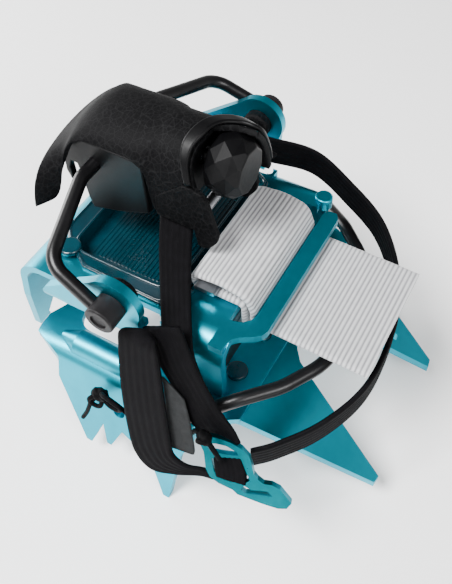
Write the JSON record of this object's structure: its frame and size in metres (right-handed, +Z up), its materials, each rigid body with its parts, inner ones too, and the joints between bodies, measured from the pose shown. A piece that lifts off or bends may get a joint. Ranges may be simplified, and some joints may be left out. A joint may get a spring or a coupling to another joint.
{
  "type": "crampon",
  "caption": "Two-piece strap-linked crampon packed for carrying: toothed toe and heel units, wire bails, heel lever with adjusting knob, ribbed linking strap and ankle webbing.",
  "frame": {"origin": "centre of the packed crampon's bounding box at the ground under the longest teeth", "axes": "+X towards the toe and the front points, +Y to the wearer's left, +Z up"},
  "size_m": [0.1189, 0.1124, 0.103],
  "materials": {
    "teal_aluminium": "satin anodised teal sheet",
    "dish_plastic": "glossy moulded teal",
    "clear_plate": "glossy moulded teal blue",
    "strap_grey": "light grey ribbed strap",
    "webbing_black": "black woven webbing",
    "cord_black": "black braided cord",
    "bail_wire": "dark coated steel wire",
    "lever_black": "textured black plastic",
    "knob_black": "smooth black plastic",
    "steel": "brushed stainless steel",
    "bush_grey": "grey plastic",
    "label_grey": "woven grey label"
  },
  "bodies": {
    "toe_unit": {"front_frame": "teal_aluminium", "front_antiball_plate": "clear_plate", "front_antiball_clips": "dish_plastic", "strap_clamp_plate": "steel", "strap_rivets": "steel", "link_strap_stub": "strap_grey"},
    "toe_bail": {"toe_bail": "bail_wire", "toe_bail_caps": "lever_black"},
    "link_strap": {"link_strap_run": "strap_grey"},
    "heel_unit": {"link_strap_buckled": "strap_grey", "strap_locking_bar": "steel", "heel_frame": "teal_aluminium", "heel_antiball_plate": "dish_plastic", "heel_antiball_clips": "dish_plastic"},
    "heel_bail": {"heel_bail": "bail_wire", "bail_outer_bushes": "bush_grey", "bail_inner_caps": "lever_black", "strap_hanger_near": "webbing_black", "strap_hanger_far": "webbing_black", "ankle_strap_down": "webbing_black", "ankle_strap_loop": "webbing_black", "ankle_strap_ring": "webbing_black", "hook_buckle": "teal_aluminium", "hook_strap_wrap": "webbing_black", "label_tag": "label_grey", "keeper_cord": "cord_black", "cord_knot_rear": "cord_black", "cord_knot_hook": "cord_black"},
    "carriage": {"lever_carriage": "steel"},
    "lever": {"lever_shell": "lever_black", "lever_cheeks": "knob_black", "webbing_bar": "steel"},
    "knob": {"adjuster_knob": "knob_black", "adjuster_screw": "steel", "screw_clip": "steel"}
  },
  "joints": [
    {"name": "toe_bail_swing", "type": "hinge", "parent": "toe_unit", "child": "toe_bail", "pos_m": [-0.0002, 0.0016, 0.03], "axis": [0, -1, 0], "range_deg": [-8, 6]},
    {"name": "unfold", "type": "hinge", "parent": "toe_unit", "child": "link_strap", "pos_m": [-0.0475, 0.0016, 0.0345], "axis": [0, -1, 0], "range_deg": [0, 165.6], "deforming": ["ankle_strap_ring"]},
    {"name": "heel_level", "type": "hinge", "parent": "link_strap", "child": "heel_unit", "pos_m": [0.0116, 0.0016, 0.054], "axis": [0, 1, 0], "range_deg": [0, 165.6]},
    {"name": "heel_bail_swing", "type": "hinge", "parent": "heel_unit", "child": "heel_bail", "pos_m": [-0.0135, 0.0016, 0.0738], "axis": [0, -1, 0], "range_deg": [0, 6]},
    {"name": "lever_open", "type": "hinge", "parent": "heel_bail", "child": "carriage", "pos_m": [-0.0362, 0.0016, 0.0875], "axis": [0, -1, 0], "range_deg": [0, 100]},
    {"name": "lever_adjust", "type": "slide", "parent": "carriage", "child": "lever", "axis": [1, 0, 0], "range_m": [-0.002, 0.002]},
    {"name": "knob_turn", "type": "hinge", "parent": "lever", "child": "knob", "pos_m": [0.0038, 0.0016, 0.0924], "axis": [1, 0, 0], "range_deg": [-720, 720]}
  ],
  "couplings": [
    {"joint": "heel_level", "follows": "unfold", "ratio": 1},
    {"joint": "knob_turn", "follows": "lever_adjust", "rad_per_m": 6283.2}
  ]
}
